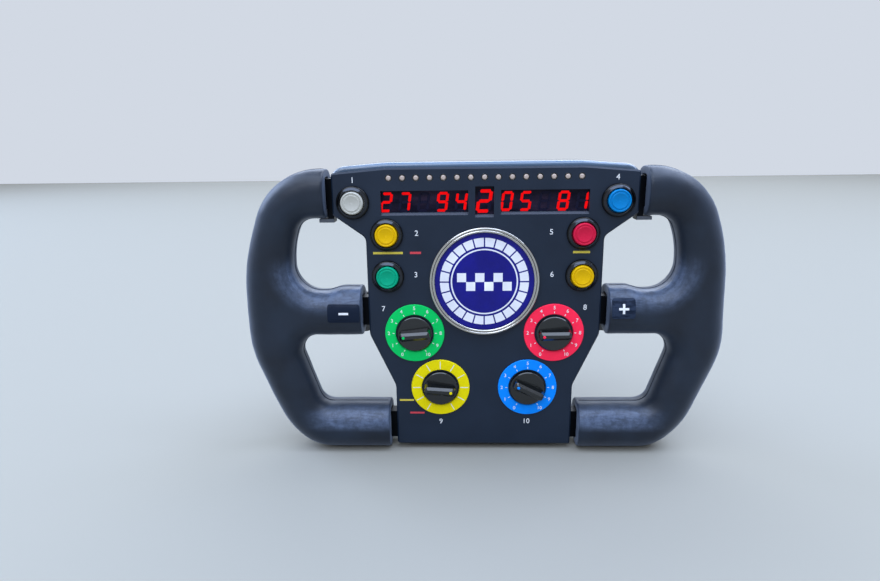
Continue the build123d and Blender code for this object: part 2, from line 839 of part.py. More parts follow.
with BuildPart() as paddle_right:
    tip_x = paddle_pivot_x + paddle_length
    with BuildSketch(Plane.XY.offset(paddle_z - paddle_tip_height / 2)):
        with BuildLine() as course:
            FilletPolyline(
                (paddle_pivot_x, pivot_y),
                (paddle_pivot_x + paddle_bend_x, pivot_y),
                (tip_x, pivot_y - paddle_bend),
                radius=paddle_bend_radius,
            )
            offset(amount=paddle_thickness / 2, side=Side.BOTH)
        make_face(course.edges())
    extrude(amount=paddle_tip_height)
    with BuildSketch(driver_plane(pivot_y + paddle_tip_height)):
        with BuildLine():
            neck_x = paddle_pivot_x + paddle_neck
            low_root = paddle_z - paddle_root_height / 2
            high_root = paddle_z + paddle_root_height / 2
            low_tip = paddle_z - paddle_tip_height / 2
            high_tip = paddle_z + paddle_tip_height / 2
            FilletPolyline(
                (paddle_pivot_x, low_root),
                (neck_x, low_root),
                (neck_x + paddle_flare, low_tip),
                (tip_x, low_tip),
                (tip_x, high_tip),
                (neck_x + paddle_flare, high_tip),
                (neck_x, high_root),
                (paddle_pivot_x, high_root),
                radius=paddle_corner,
            )
            Line((paddle_pivot_x, high_root), (paddle_pivot_x, low_root))
        make_face()
    extrude(amount=2 * paddle_tip_height, mode=Mode.INTERSECT)
    with BuildSketch(Plane.XY.offset(paddle_z - paddle_barrel_height / 2)):
        with Locations((paddle_pivot_x, pivot_y)):
            Circle(paddle_barrel_radius)
    extrude(amount=paddle_barrel_height)
    with BuildSketch(Plane.XY.offset(paddle_z - paddle_barrel_height / 2)):
        with Locations((paddle_pivot_x, pivot_y)):
            Circle(pin_radius + pin_fit)
    extrude(amount=paddle_barrel_height, mode=Mode.SUBTRACT)
finish(paddle_right, "paddle_right")

with BuildPart() as paddle_bracket_left:
    mirror(paddle_bracket_right.part, about=Plane.YZ)
finish(paddle_bracket_left, "paddle_bracket_left")

with BuildPart() as paddle_pin_left:
    mirror(paddle_pin_right.part, about=Plane.YZ)
finish(paddle_pin_left, "paddle_pin_left")

with BuildPart() as paddle_left:
    mirror(paddle_right.part, about=Plane.YZ)
finish(paddle_left, "paddle_left")

# Socket of the electrical connector, its lead unplugged
with BuildPart() as connector:
    shell_back_y = housing_back_y + connector_length
    socket_y = shell_back_y - connector_recess
    with BuildSketch(lathe_plane(0, connector_z)):
        with BuildLine():
            Polyline(
                (0, housing_back_y),
                (connector_flange, housing_back_y),
                (connector_flange, housing_back_y + connector_flange_thickness),
                (connector_radius, housing_back_y + connector_flange_thickness),
                (connector_radius, shell_back_y),
                (connector_radius - connector_wall, shell_back_y),
                (connector_radius - connector_wall, socket_y),
                (0, socket_y),
                close=True,
            )
        make_face()
    revolve(axis=lathe_axis(0, connector_z))
finish(connector, "connector")
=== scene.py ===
import bmesh
import bpy
from math import atan2, cos, pi, radians, sin, tan
from mathutils import Matrix, Vector


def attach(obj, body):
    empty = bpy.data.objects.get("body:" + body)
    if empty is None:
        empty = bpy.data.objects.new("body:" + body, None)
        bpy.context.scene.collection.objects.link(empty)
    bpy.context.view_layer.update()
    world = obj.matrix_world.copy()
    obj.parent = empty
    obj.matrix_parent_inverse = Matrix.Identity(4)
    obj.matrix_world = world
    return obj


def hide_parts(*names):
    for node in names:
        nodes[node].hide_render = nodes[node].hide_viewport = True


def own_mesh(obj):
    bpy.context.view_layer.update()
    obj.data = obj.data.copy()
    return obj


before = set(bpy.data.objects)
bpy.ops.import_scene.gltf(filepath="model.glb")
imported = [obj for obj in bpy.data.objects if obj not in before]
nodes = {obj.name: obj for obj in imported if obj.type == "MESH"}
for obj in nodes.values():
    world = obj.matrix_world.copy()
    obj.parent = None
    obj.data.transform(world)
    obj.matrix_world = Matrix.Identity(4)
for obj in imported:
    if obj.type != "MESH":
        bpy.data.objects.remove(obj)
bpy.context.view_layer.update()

# Metres. The face of the wheel looks along -Y and up is +Z. These planes and places repeat the
# solids'. Names that end in _mm and tables that say so are in millimetres.
MM = 0.001
FACE_Y = -74.0 * MM
PLATE_BACK_Y = -70.0 * MM
GRIP_MID_Y = -66.0 * MM
HOUSING_BACK_Y = -38.0 * MM
SOCKET_FLOOR_Y = -35.0 * MM
FLANGE_BACK_Y = -33.0 * MM
COLLAR_FRONT_Y = -15.1 * MM
RING_FRONT_Y = FACE_Y - 1.0 * MM
NUT_Y = FACE_Y - 2.2 * MM
LAMP_HOLDER_Y = -72.5 * MM
FLOOR_Z = -106.0 * MM
PRINT = 0.06 * MM
SEGMENT_HEIGHT = 0.1 * MM

# Middle of the thumb rest, the round corner under the upper finger opening, and of the band along
# the foot that is both wear and painted highlight
THUMB_X = 95.4 * MM
THUMB_Z = 8.8 * MM
FOOT_WEAR_AND_HIGHLIGHT_Z = -84.5 * MM

# Bottoms of the windows, which slope, and the armature's two small stops
SILL_LOW_Z = 36.9 * MM
SILL_TOP_Z = 39.3 * MM
STOP_X = 85.6 * MM
STOP_LOW_Z = 33.9 * MM
STOP_TOP_Z = 36.05 * MM

# A limit that no place on the wheel reaches
BEYOND = 1.0

# name, which starts with the colour of the cap, and x, z in millimetres
BUTTONS = [
    ("white", -73.75, 45.6),
    ("yellow_left", -55.3, 27.3),
    ("green", -55.3, 3.2),
    ("blue", 73.75, 45.6),
    ("red", 55.3, 27.3),
    ("yellow_right", 55.3, 3.2),
]

# name, x, z in millimetres and where the pointer rests in degrees anticlockwise from +X
DIALS = [
    ("green", -40.6, -31.0, 187.0),
    ("red", 40.6, -31.0, 184.0),
    ("yellow", -25.9, -65.1, -8.0),
    ("blue", 25.9, -65.1, 157.0),
]


# Camera: the photograph's own, solved from the wheel's outline and the row of lamps
PHOTO_WIDTH = 880
FOCAL_PIXELS = 610.0
SENSOR_MM = 36.0
CAMERA_PLACE = (-14.2 * MM, -415.8 * MM, 79.9 * MM)
PITCH = radians(14.0)
YAW = radians(1.89)
ROLL = radians(-0.76)

ahead = Vector((-sin(YAW) * cos(PITCH), cos(YAW) * cos(PITCH), -sin(PITCH)))
level = Vector((cos(YAW), sin(YAW), 0))
upward = level.cross(ahead)
right = cos(ROLL) * level + sin(ROLL) * upward
above = cos(ROLL) * upward - sin(ROLL) * level
camera_turn = Matrix((right, above, -ahead)).transposed().to_4x4()
camera = bpy.data.objects.new("camera", bpy.data.cameras.new("camera"))
camera.data.sensor_width = SENSOR_MM
camera.data.lens = FOCAL_PIXELS / PHOTO_WIDTH * SENSOR_MM
camera.data.clip_start = 10 * MM
camera.matrix_world = Matrix.Translation(CAMERA_PLACE) @ camera_turn
bpy.context.scene.collection.objects.link(camera)
bpy.context.scene.camera = camera


# Materials
def linear(code):
    """An sRGB hex colour as the linear one that a shader takes."""
    channels = [int(code[i:i + 2], 16) / 255 for i in (1, 3, 5)]
    bright = [c / 12.92 if c <= 0.04045 else ((c + 0.055) / 1.055) ** 2.4 for c in channels]
    return (*bright, 1.0)


def fill(material, inputs, values):
    """Sets each input to a value or a hex colour, or links it to the socket that feeds it."""
    for name, value in values.items():
        if isinstance(value, bpy.types.NodeSocket):
            material.node_tree.links.new(value, inputs[name])
        else:
            inputs[name].default_value = linear(value) if isinstance(value, str) else value


def node(material, kind, values=None, **settings):
    """Adds a node with its settings and inputs. Returns its outputs.

    Inputs go by name, or by number: MapRange takes the value, the two ends that it comes from
    and the two that it goes to as 0 to 4, and Mix takes its share as 0, and two numbers as 2
    and 3 or two colours as 6 and 7.
    """
    made = material.node_tree.nodes.new("ShaderNode" + kind)
    for name, value in settings.items():
        setattr(made, name, value)
    fill(material, made.inputs, values or {})
    return made.outputs


def shade(material, values):
    fill(material, material.node_tree.nodes["Principled BSDF"].inputs, values)


def finish(name, colour, roughness, values=None):
    """A new material and the Object coordinates that its patterns follow."""
    made = bpy.data.materials.new(name)
    made.use_nodes = True
    shade(made, {"Base Color": colour, "Roughness": roughness, **(values or {})})
    return made, node(made, "TexCoord")["Object"]


def every(size_mm):
    """The scale of a pattern whose grains are this large."""
    return 1 / (size_mm * MM)


# MapRange's inputs for the two ends that nearly all of a noise lies between
NOISE = {1: 0.3, 2: 0.7}


def weathered(made, where, roughness, patch_mm, grain_mm, depth_mm):
    """Gives a finish the uneven gloss of handling and a fine grain. Returns the patches."""
    patches = node(made, "TexNoise", {"Vector": where, "Scale": every(patch_mm), "Detail": 4.0})[0]
    ends = {3: roughness * 0.8, 4: roughness * 1.2}
    gloss = node(made, "MapRange", {0: patches, **NOISE, **ends})[0]
    grain = node(made, "TexNoise", {"Vector": where, "Scale": every(grain_mm), "Detail": 2.0})[0]
    lumps = node(made, "Bump", {"Height": grain, "Distance": depth_mm * MM, "Strength": 0.4})[0]
    shade(made, {"Roughness": gloss, "Normal": lumps})
    return patches


def within(made, *limits):
    """1 where every value lies between its two limits, else 0."""
    mask = 1.0
    for value, low, high in limits:
        for limit, test in ((low, "GREATER_THAN"), (high, "LESS_THAN")):
            passed = node(made, "Math", {0: value, 1: limit}, operation=test)[0]
            mask = node(made, "Math", {0: mask, 1: passed}, operation="MULTIPLY")[0]
    return mask


def cell(made, value, size):
    """Which of the cells of this size a value lies in."""
    count = node(made, "Math", {0: value, 1: size}, operation="DIVIDE")[0]
    return node(made, "Math", {0: count}, operation="FLOOR")[0]


def leaning_streaks(made, where, *sizes_mm):
    """Streaks of these sizes along x, y and z, which lean to one side by half a radian."""
    scale = [every(size) for size in sizes_mm]
    turned = {"Vector": where, "Rotation": (0.0, 0.5, 0.0), "Scale": scale}
    lean = node(made, "Mapping", turned)[0]
    rough = {"Vector": lean, "Scale": 1.0, "Detail": 4.0, "Roughness": 0.6}
    return node(made, "TexNoise", rough)[0]


# Where the rubber shows wear: in a band round the thumb rest and along the foot, in front alone.
# Along the top of the foot the grey is also a painted highlight.
def rubbed_rubber(made, across, y, z):
    """How much wear each place shows, from 0 to 1, with a painted highlight in it along the foot,
    and how far the place lies from the thumb rest.
    """
    beyond = node(made, "Math", {0: across, 1: THUMB_X}, operation="SUBTRACT")[0]
    beyond = node(made, "Math", {0: beyond, 1: 0.0}, operation="MAXIMUM")[0]
    below = node(made, "Math", {0: THUMB_Z, 1: z}, operation="SUBTRACT")[0]
    corner = node(made, "CombineXYZ", {0: beyond, 1: below})[0]
    far = node(made, "VectorMath", {0: corner}, operation="LENGTH")["Value"]
    off_foot = node(made, "Math", {0: z, 1: FOOT_WEAR_AND_HIGHLIGHT_Z}, operation="SUBTRACT")[0]
    off_foot = node(made, "Math", {0: off_foot}, operation="ABSOLUTE")[0]

    # name, value, where the wear is full and where it is gone, in millimetres, and its most. The
    # foot's entry is also a painted highlight.
    fades = [
        ("round", far, 15, 30, 1.0),
        ("under", z, 2, 18, 1.0),
        ("over", z, -19, -24, 1.0),
        # Wear and a painted highlight along the top of the foot
        ("foot", off_foot, 3, 8, 0.95),
        ("inner", across, 88, 112, 1.0),
        ("front", y, -73, -63, 1.0),
    ]
    fades_of_wear_and_highlight = {}
    for name, value, full_mm, gone_mm, most in fades:
        ends = {0: value, 1: full_mm * MM, 2: gone_mm * MM, 3: most, 4: 0.0}
        fades_of_wear_and_highlight[name] = node(made, "MapRange", ends, interpolation_type="SMOOTHSTEP")[0]
    rest = node(made, "Math", {0: fades_of_wear_and_highlight["round"], 1: fades_of_wear_and_highlight["under"]}, operation="MULTIPLY")[0]
    rest = node(made, "Math", {0: rest, 1: fades_of_wear_and_highlight["over"]}, operation="MULTIPLY")[0]
    foot = node(made, "Math", {0: fades_of_wear_and_highlight["foot"], 1: fades_of_wear_and_highlight["inner"]}, operation="MULTIPLY")[0]
    wear_and_highlight = node(made, "Math", {0: rest, 1: foot}, operation="MAXIMUM")[0]
    return node(made, "Math", {0: wear_and_highlight, 1: fades_of_wear_and_highlight["front"]}, operation="MULTIPLY")[0], far


# Rubber, moulded and grained: near black with a soft sheen, greyed and creased where use has rubbed
# it under the upper finger opening, and greyed along the top of the foot by wear and a painted
# highlight
def rubber():
    polish = {"Specular IOR Level": 0.28, "Coat Weight": 0.1, "Coat Roughness": 0.3}
    dust = {"Sheen Weight": 0.4, "Sheen Roughness": 0.46, "Sheen Tint": "#A3B3D0"}
    made, where = finish("moulded_rubber", "#141B27", 0.46, {**polish, **dust})
    x, y, z = node(made, "SeparateXYZ", {0: where})
    across = node(made, "Math", {0: x}, operation="ABSOLUTE")[0]
    wear_and_highlight, far = rubbed_rubber(made, across, y, z)

    # Soft creases 4 mm apart that run round the thumb rest, broken by clouds of bloom 5 mm across
    smooth = {"interpolation_type": "SMOOTHSTEP"}
    streaks = node(made, "CombineXYZ", {0: far, 1: across, 2: y})[0]
    crease_scale = (every(4), every(18.18), every(9.09))
    streaks = node(made, "Mapping", {"Vector": streaks, "Scale": crease_scale})[0]
    crinkled = {"Vector": streaks, "Scale": 1.0, "Detail": 5.0, "Distortion": 1.6}
    crease = node(made, "TexNoise", crinkled)[0]
    crease = node(made, "MapRange", {0: crease, 1: 0.3, 2: 0.66, 3: 0.6, 4: 1.0}, **smooth)[0]
    clouded = {"Vector": where, "Scale": every(5), "Detail": 6.0, "Roughness": 0.7}
    cloud = node(made, "TexNoise", clouded)[0]
    cloud = node(made, "MapRange", {0: cloud, 1: 0.3, 2: 0.66, 3: 0.4, 4: 1.0}, **smooth)[0]
    bloom = node(made, "Math", {0: crease, 1: cloud}, operation="MULTIPLY")[0]
    worn_and_highlighted = node(made, "Math", {0: wear_and_highlight, 1: bloom}, operation="MULTIPLY")[0]
    broad = node(made, "TexNoise", {"Vector": where, "Scale": every(26), "Detail": 3.0})[0]
    broad = node(made, "MapRange", {0: broad, 1: 0.35, 2: 0.68})[0]
    base = node(made, "Mix", {0: broad, 6: "#0A131F", 7: "#131F2E"}, data_type="RGBA")[2]
    # Grey of wear; along the foot it is also a painted highlight
    tint = node(made, "Mix", {0: worn_and_highlighted, 6: base, 7: "#54637E"}, data_type="RGBA")[2]

    # Gloss that wear raises, a pebbled grain 0.9 mm across and folds along the creases
    patches = weathered(made, where, 0.46, 10, 0.9, 0.06)
    gloss = node(made, "MapRange", {0: patches, **NOISE, 3: 0.4, 4: 0.52})[0]
    smoother = node(made, "Math", {0: worn_and_highlighted, 1: 0.12}, operation="MULTIPLY")[0]
    gloss = node(made, "Math", {0: gloss, 1: smoother}, operation="SUBTRACT")[0]
    pebble = node(made, "TexVoronoi", {"Vector": where, "Scale": every(0.9)})["Distance"]
    grain = node(made, "Bump", {"Height": pebble, "Distance": 0.05 * MM, "Strength": 0.3})[0]
    folds = node(made, "Math", {0: crease, 1: wear_and_highlight}, operation="MULTIPLY")[0]
    raised = {"Height": folds, "Distance": 0.45 * MM, "Strength": 0.7, "Normal": grain}
    shade(made, {"Base Color": tint, "Roughness": gloss, "Normal": node(made, "Bump", raised)[0]})
    return made


# Powder-coated aluminium plate: an even eggshell, with a painted highlight on the sills of the
# windows
def plate_coat():
    made, where = finish("powder_coated_plate", "#131B28", 0.46, {"Specular IOR Level": 0.28})
    patches = weathered(made, where, 0.46, 24, 0.7, 0.02)
    _, y, z = node(made, "SeparateXYZ", {0: where})
    # Painted highlight: the sloping sills are drawn paler
    painted_sill_highlight = within(made, (z, SILL_LOW_Z, SILL_TOP_Z), (y, FACE_Y + 0.1 * MM, BEYOND))
    coat = node(made, "Mix", {0: patches, 6: "#0F1A29", 7: "#182638"}, data_type="RGBA")[2]
    tint = node(made, "Mix", {0: painted_sill_highlight, 6: coat, 7: "#363C4A"}, data_type="RGBA")[2]
    shade(made, {"Base Color": tint})
    return made


# Bare, anodised or plated metal: a cloudy gloss, and a grain that follows the tool that cut it
def metal(name, colour, roughness, grain_mm=(0.6, 0.6, 0.6), depth_mm=0.01):
    made, where = finish(name, colour, roughness, {"Metallic": 1.0})
    scale = [every(size) for size in grain_mm]
    stretched = node(made, "Mapping", {"Vector": where, "Scale": scale})[0]
    grain = node(made, "TexNoise", {"Vector": stretched, "Scale": 1.0, "Detail": 3.0})[0]
    cloud = node(made, "TexNoise", {"Vector": where, "Scale": every(18), "Detail": 3.0})[0]
    both = node(made, "Mix", {0: 0.4, 2: grain, 3: cloud})[0]
    ends = {3: roughness * 0.75, 4: roughness * 1.25}
    gloss = node(made, "MapRange", {0: both, **NOISE, **ends})[0]
    lay = node(made, "Bump", {"Height": grain, "Distance": depth_mm * MM, "Strength": 0.4})[0]
    shade(made, {"Roughness": gloss, "Normal": lay})
    return made


# Armature: black anodised plate, with a painted highlight on its two small stops
def armature_finish():
    made = metal("black_anodised_plate", "#1B1D21", 0.42)
    x, _, z = node(made, "SeparateXYZ", {0: node(made, "TexCoord")["Object"]})
    across = node(made, "Math", {0: x}, operation="ABSOLUTE")[0]
    # Painted highlight: the two small stops are drawn pale grey
    painted_stop_highlight = within(made, (across, STOP_X, BEYOND), (z, STOP_LOW_Z, STOP_TOP_Z))
    tint = node(made, "Mix", {0: painted_stop_highlight, 6: "#14161A", 7: "#5F646E"}, data_type="RGBA")[2]
    shade(made, {"Base Color": tint})
    return made


# Moulded plastic: even colour with a faint spark-eroded texture
def plastic(name, colour, roughness, grain_mm=0.5, depth_mm=0.015, values=None):
    made, where = finish(name, colour, roughness, values)
    weathered(made, where, roughness, 6, grain_mm, depth_mm)
    return made


# Carbon-fibre laminate: a 2/2 twill of tows 1.8 mm wide under clear resin. A fibre is 0.007 mm
# thick, which is too fine to show, so the fibres are drawn 0.111 mm thick and 1.11 mm long.
def carbon(name):
    resin = {"Coat Weight": 1.0, "Coat Roughness": 0.14, "Specular IOR Level": 0.3}
    made, where = finish(name, "#0D0F12", 0.35, resin)
    tow = 1.8 * MM
    x, y, z = node(made, "SeparateXYZ", {0: where})
    flat = node(made, "Math", {0: z, 1: y}, operation="ADD")[0]
    step = {0: cell(made, x, tow), 1: cell(made, flat, tow)}
    step = node(made, "Math", step, operation="SUBTRACT")[0]
    step = node(made, "Math", {0: step, 1: 4.0}, operation="FLOORED_MODULO")[0]
    over = node(made, "Math", {0: step, 1: 2.0}, operation="LESS_THAN")[0]
    long, thin = every(1.1111), every(0.11111)
    fibre_x = node(made, "Mapping", {"Vector": where, "Scale": (long, thin, thin)})[0]
    fibre_z = node(made, "Mapping", {"Vector": where, "Scale": (thin, long, long)})[0]
    weft = node(made, "TexNoise", {"Vector": fibre_x, "Scale": 1.0})[0]
    warp = node(made, "TexNoise", {"Vector": fibre_z, "Scale": 1.0})[0]
    dark = node(made, "Mix", {0: weft, 6: "#06080A", 7: "#111419"}, data_type="RGBA")[2]
    light = node(made, "Mix", {0: warp, 6: "#12161B", 7: "#252A32"}, data_type="RGBA")[2]
    across = node(made, "Math", {0: x, 1: tow / 2}, operation="PINGPONG")[0]
    along = node(made, "Math", {0: flat, 1: tow / 2}, operation="PINGPONG")[0]
    crown = node(made, "Mix", {0: over, 2: across, 3: along})[0]
    weave = node(made, "Bump", {"Height": crown, "Distance": 1.0 * MM, "Strength": 0.25})[0]
    cloth = node(made, "Mix", {0: over, 6: dark, 7: light}, data_type="RGBA")[2]
    shade(made, {"Base Color": cloth, "Normal": weave})
    return made


# The housing's brow carries a painted reflection of top light: a greyed blue under the same clear
# coat, darker towards the plate and paler upwards. The painted reflection ends in a frayed edge.
def sprayed_brow(name):
    made = carbon(name)
    surface = made.node_tree.nodes["Principled BSDF"].inputs["Base Color"]
    cloth = surface.links[0].from_socket
    where = node(made, "TexCoord")["Object"]
    _, y, z = node(made, "SeparateXYZ", {0: where})
    fray = node(made, "TexNoise", {"Vector": where, "Scale": every(5), "Detail": 4.0})[0]
    edge = node(made, "MapRange", {0: fray, **NOISE, 3: -66.2 * MM, 4: -65.6 * MM})[0]
    front = node(made, "Math", {0: y, 1: edge}, operation="LESS_THAN")[0]
    # Painted reflection, paler towards the top of the brow
    high = node(made, "MapRange", {0: z, 1: 63.6 * MM, 2: 67.0 * MM, 3: 0.0, 4: 1.0})[0]
    painted_reflection_tint = node(made, "Mix", {0: high, 6: "#34495F", 7: "#42617F"}, data_type="RGBA")[2]
    tint = node(made, "Mix", {0: front, 6: cloth, 7: painted_reflection_tint}, data_type="RGBA")[2]
    shade(made, {"Base Color": tint})
    return made


# Vitreous enamel between raised lines: a deep blue ground, a white scale of 24 blocks and a band
# of plain squares
def enamel():
    made, where = finish("fired_enamel", "#0C0C84", 0.16, {"Specular IOR Level": 0.3})
    x, _, z = node(made, "SeparateXYZ", {0: where})
    flat = node(made, "CombineXYZ", {0: x, 1: z})[0]
    radius = node(made, "VectorMath", {0: flat}, operation="LENGTH")["Value"]
    turn = node(made, "Math", {0: x, 1: z}, operation="ARCTAN2")[0]
    half_block = pi / 24
    gap = 0.4 * MM
    square = 5.2 * MM

    step = node(made, "Math", {0: turn, 1: half_block}, operation="PINGPONG")[0]
    beside = node(made, "Math", {0: step, 1: radius}, operation="MULTIPLY")[0]
    scale = within(made, (radius, 20.4 * MM, 25.4 * MM), (beside, gap, BEYOND))
    line = within(made, (radius, 18.4 * MM, 19.2 * MM))
    band = within(made, (x, -3 * square, 3 * square), (z, -square, square))
    odd = {0: cell(made, x, square), 1: cell(made, z, square)}
    odd = node(made, "Math", odd, operation="ADD")[0]
    odd = node(made, "Math", {0: odd, 1: 2.0}, operation="FLOORED_MODULO")[0]
    squares = node(made, "Math", {0: band, 1: odd}, operation="MULTIPLY")[0]
    white = node(made, "Math", {0: scale, 1: squares}, operation="MAXIMUM")[0]
    white = node(made, "Math", {0: white, 1: line}, operation="MAXIMUM")[0]
    pool = node(made, "TexNoise", {"Vector": where, "Scale": every(9), "Detail": 3.0})[0]
    blue = node(made, "Mix", {0: pool, 6: "#03035A", 7: "#0B0B86"}, data_type="RGBA")[2]
    pale = node(made, "Mix", {0: pool, 6: "#CDD0DC", 7: "#E8EAF2"}, data_type="RGBA")[2]
    tint = node(made, "Mix", {0: white, 6: blue, 7: pale}, data_type="RGBA")[2]
    fired = node(made, "Bump", {"Height": white, "Distance": 0.05 * MM, "Strength": 0.4})[0]
    shade(made, {"Base Color": tint, "Normal": fired})
    return made


# Light-emitting segments: an even red glow with hardly any gloss of their own
def glowing():
    lit = {"Specular IOR Level": 0.0, "Emission Strength": 1.0}
    made, where = finish("glowing_segment", "#200000", 0.6, lit)
    patchy = node(made, "TexNoise", {"Vector": where, "Scale": every(1.2), "Detail": 2.0})[0]
    even = node(made, "MapRange", {0: patchy, 1: 0.25, 2: 0.75})[0]
    glow = node(made, "Mix", {0: even, 6: "#E60C10", 7: "#FF1216"}, data_type="RGBA")[2]
    shade(made, {"Emission Color": glow})
    return made


# Smoked glass over the displays: near black, with painted reflections in faint purple streaks
def smoked_glass():
    made, where = finish("smoked_glass", "#0A0A1C", 0.12, {"Specular IOR Level": 0.12})
    # Painted reflections in faint purple streaks
    painted_reflection_streaks = leaning_streaks(made, where, 28.57, 16.67, 8.333)
    painted_reflection_streaks = node(made, "MapRange", {0: painted_reflection_streaks, 1: 0.42, 2: 0.72})[0]
    tint = node(made, "Mix", {0: painted_reflection_streaks, 6: "#05051B", 7: "#2E2338"}, data_type="RGBA")[2]
    weathered(made, where, 0.14, 7, 3.0, 0.001)
    shade(made, {"Base Color": tint})
    return made


# Screen-printed ink or sprayed paint: flat and even, a little thinner in places
def paint(name, colour, roughness, patch_mm=0.5, thin=0.8):
    made, where = finish(name, colour, roughness, {"Specular IOR Level": 0.12})
    weathered(made, where, roughness, 5, 0.5, 0.01)
    cover = node(made, "TexNoise", {"Vector": where, "Scale": every(patch_mm), "Detail": 3.0})[0]
    cover = node(made, "MapRange", {0: cover, 1: 0.3, 2: 0.55, 3: thin, 4: 1.0})[0]
    tint = node(made, "HueSaturation", {"Color": colour, "Value": cover})[0]
    shade(made, {"Base Color": tint})
    return made


# Vulcanised tab: matt blue-black, scuffed through to grey by use
def tab_rubber(name, scuffed):
    made = plastic(name, "#0C1424", 0.5, 0.4, 0.03, {"Specular IOR Level": 0.1})
    scuff = leaning_streaks(made, node(made, "TexCoord")["Object"], 8.333, 5.0, 2.381)
    ends = {1: 0.62 - scuffed / 2, 2: 0.74 - scuffed / 2}
    scuff = node(made, "MapRange", {0: scuff, **ends})[0]
    tint = node(made, "Mix", {0: scuff, 6: "#111B2C", 7: "#263145"}, data_type="RGBA")[2]
    shade(made, {"Base Color": tint})
    return made


# How strongly a finish shines, and the grain that polishing leaves
GLOSSY = {"Specular IOR Level": 0.5, "Coat Weight": 0.4, "Coat Roughness": 0.08}
SATIN = {"Specular IOR Level": 0.25}
SOFT = {"Specular IOR Level": 0.12}
MATT = {"Specular IOR Level": 0.1}
POLISHED_GRAIN = (4.0, 4.0, 4.0)

RUBBER = rubber()
CARBON = carbon("clear_coated_carbon")
WHITE_INK = paint("white_screen_ink", "#DFE2E6", 0.5)
LIT = glowing()
DIM = plastic("unlit_segment", "#14142C", 0.4, values=MATT)
GLASS = smoked_glass()
BLACK_PLASTIC = plastic("black_moulded_plastic", "#03070A", 0.2, 0.5, 0.008, GLOSSY)
BEZEL_BLACK = plastic("black_lacquered_bezel", "#030405", 0.16, 0.8, 0.003, SATIN)
STEEL = metal("blackened_steel", "#2B2D30", 0.38)
BRIGHT_STEEL = metal("spring_steel", "#A8A9AB", 0.28)
DARK_ALLOY = metal("black_anodised_aluminium", "#1B1D21", 0.42)
BLACK_CHROME = metal("black_chrome", "#3A3D43", 0.14, POLISHED_GRAIN, 0.001)
GOLD = metal("gold_plated_pin", "#D9A94A", 0.25)
TAB_RUBBER = {
    "left": tab_rubber("tab_rubber", 0.0),
    "right": tab_rubber("scuffed_tab_rubber", 0.4),
}

cap_colours = {
    "white": "#ADADA6",
    "blue": "#0073B4",
    "yellow": "#D2A800",
    "red": "#C21A3E",
    "green": "#009773",
}
ring_colours = {"green": "#00C25E", "red": "#FF2C50", "yellow": "#E1D200", "blue": "#0084F2"}
CAPS = {
    name: plastic(f"{name}_cap_plastic", colour, 0.36, 0.4, 0.01, SOFT)
    for name, colour in cap_colours.items()
}
RINGS = {
    name: paint(f"{name}_ring_paint", colour, 0.5, 5, 0.95)
    for name, colour in ring_colours.items()
}

dressed = {
    "face_plate": plate_coat(),
    "armature": armature_finish(),
    "housing": sprayed_brow("carbon_with_painted_reflection_brow"),
    "display_left": GLASS,
    "display_gear": GLASS,
    "display_right": GLASS,
    "shift_lamps": plastic("frosted_lamp_lens", "#AFA097", 0.24, 0.6, 0.01),
    "button_bezels": BEZEL_BLACK,
    "dial_bushings": metal("turned_brass", "#B4913F", 0.3),
    "badge_rim": metal("polished_chrome", "#B9B7B3", 0.12, POLISHED_GRAIN, 0.001),
    "badge_disc": enamel(),
    "hub": metal("machined_aluminium", "#B9BBBE", 0.32, (0.25, 4.0, 0.25), 0.02),
    "snap_ring": BRIGHT_STEEL,
    "release_collar": metal("red_anodised_aluminium", "#8E1420", 0.3),
    "connector": metal("nickel_plated_shell", "#8B8A84", 0.3),
}
for name, *_ in BUTTONS:
    dressed[f"button_{name}"] = CAPS[name.split("_")[0]]
for name, *_ in DIALS:
    dressed[f"dial_ring_{name}"] = RINGS[name]
    dressed[f"knob_{name}"] = BLACK_PLASTIC
for side in ("left", "right"):
    dressed[f"paddle_{side}"] = CARBON
    dressed[f"paddle_bracket_{side}"] = DARK_ALLOY
    dressed[f"paddle_pin_{side}"] = BRIGHT_STEEL
for name, material in dressed.items():
    for place in nodes[name].material_slots:
        place.link = "OBJECT"
        place.material = material


# Modelling
def alone(obj):
    """Selects one piece and nothing else."""
    bpy.ops.object.select_all(action="DESELECT")
    bpy.context.view_layer.objects.active = obj
    obj.select_set(True)


def edit(obj, action="DESELECT"):
    """Opens a piece in edit mode with nothing selected, or with all of it for SELECT."""
    alone(obj)
    bpy.ops.object.mode_set(mode="EDIT")
    bpy.ops.mesh.select_all(action=action)


def close(smooth_angle=None):
    """Leaves edit mode with the faces turned outwards. Returns the piece."""
    bpy.ops.mesh.select_all(action="SELECT")
    bpy.ops.mesh.normals_make_consistent(inside=False)
    bpy.ops.object.mode_set(mode="OBJECT")
    obj = bpy.context.object
    if smooth_angle:
        bpy.ops.object.shade_smooth_by_angle(angle=radians(smooth_angle))
    return obj


def select(kind, test):
    """Selects the vertices, edges or faces in edit mode that pass the test."""
    bpy.ops.mesh.select_all(action="DESELECT")
    bpy.ops.mesh.select_mode(type=kind)
    shape = bmesh.from_edit_mesh(bpy.context.object.data)
    for element in {"VERT": shape.verts, "EDGE": shape.edges, "FACE": shape.faces}[kind]:
        if test(element):
            element.select_set(True)
    bmesh.update_edit_mesh(bpy.context.object.data)


def select_upper_edges(height):
    """Selects the edges that lie wholly above a height."""
    select("EDGE", lambda edge: min(vertex.co.z for vertex in edge.verts) > height)


def pull_up(height):
    """Extrudes what is selected along z."""
    bpy.ops.mesh.extrude_region_move(TRANSFORM_OT_translate={"value": (0, 0, height)})


def use(obj, kind, **settings):
    """Adds a modifier to a piece and applies it."""
    alone(obj)
    modifier = obj.modifiers.new(kind.lower(), kind)
    for name, value in settings.items():
        setattr(modifier, name, value)
    bpy.ops.object.modifier_apply(modifier=modifier.name)


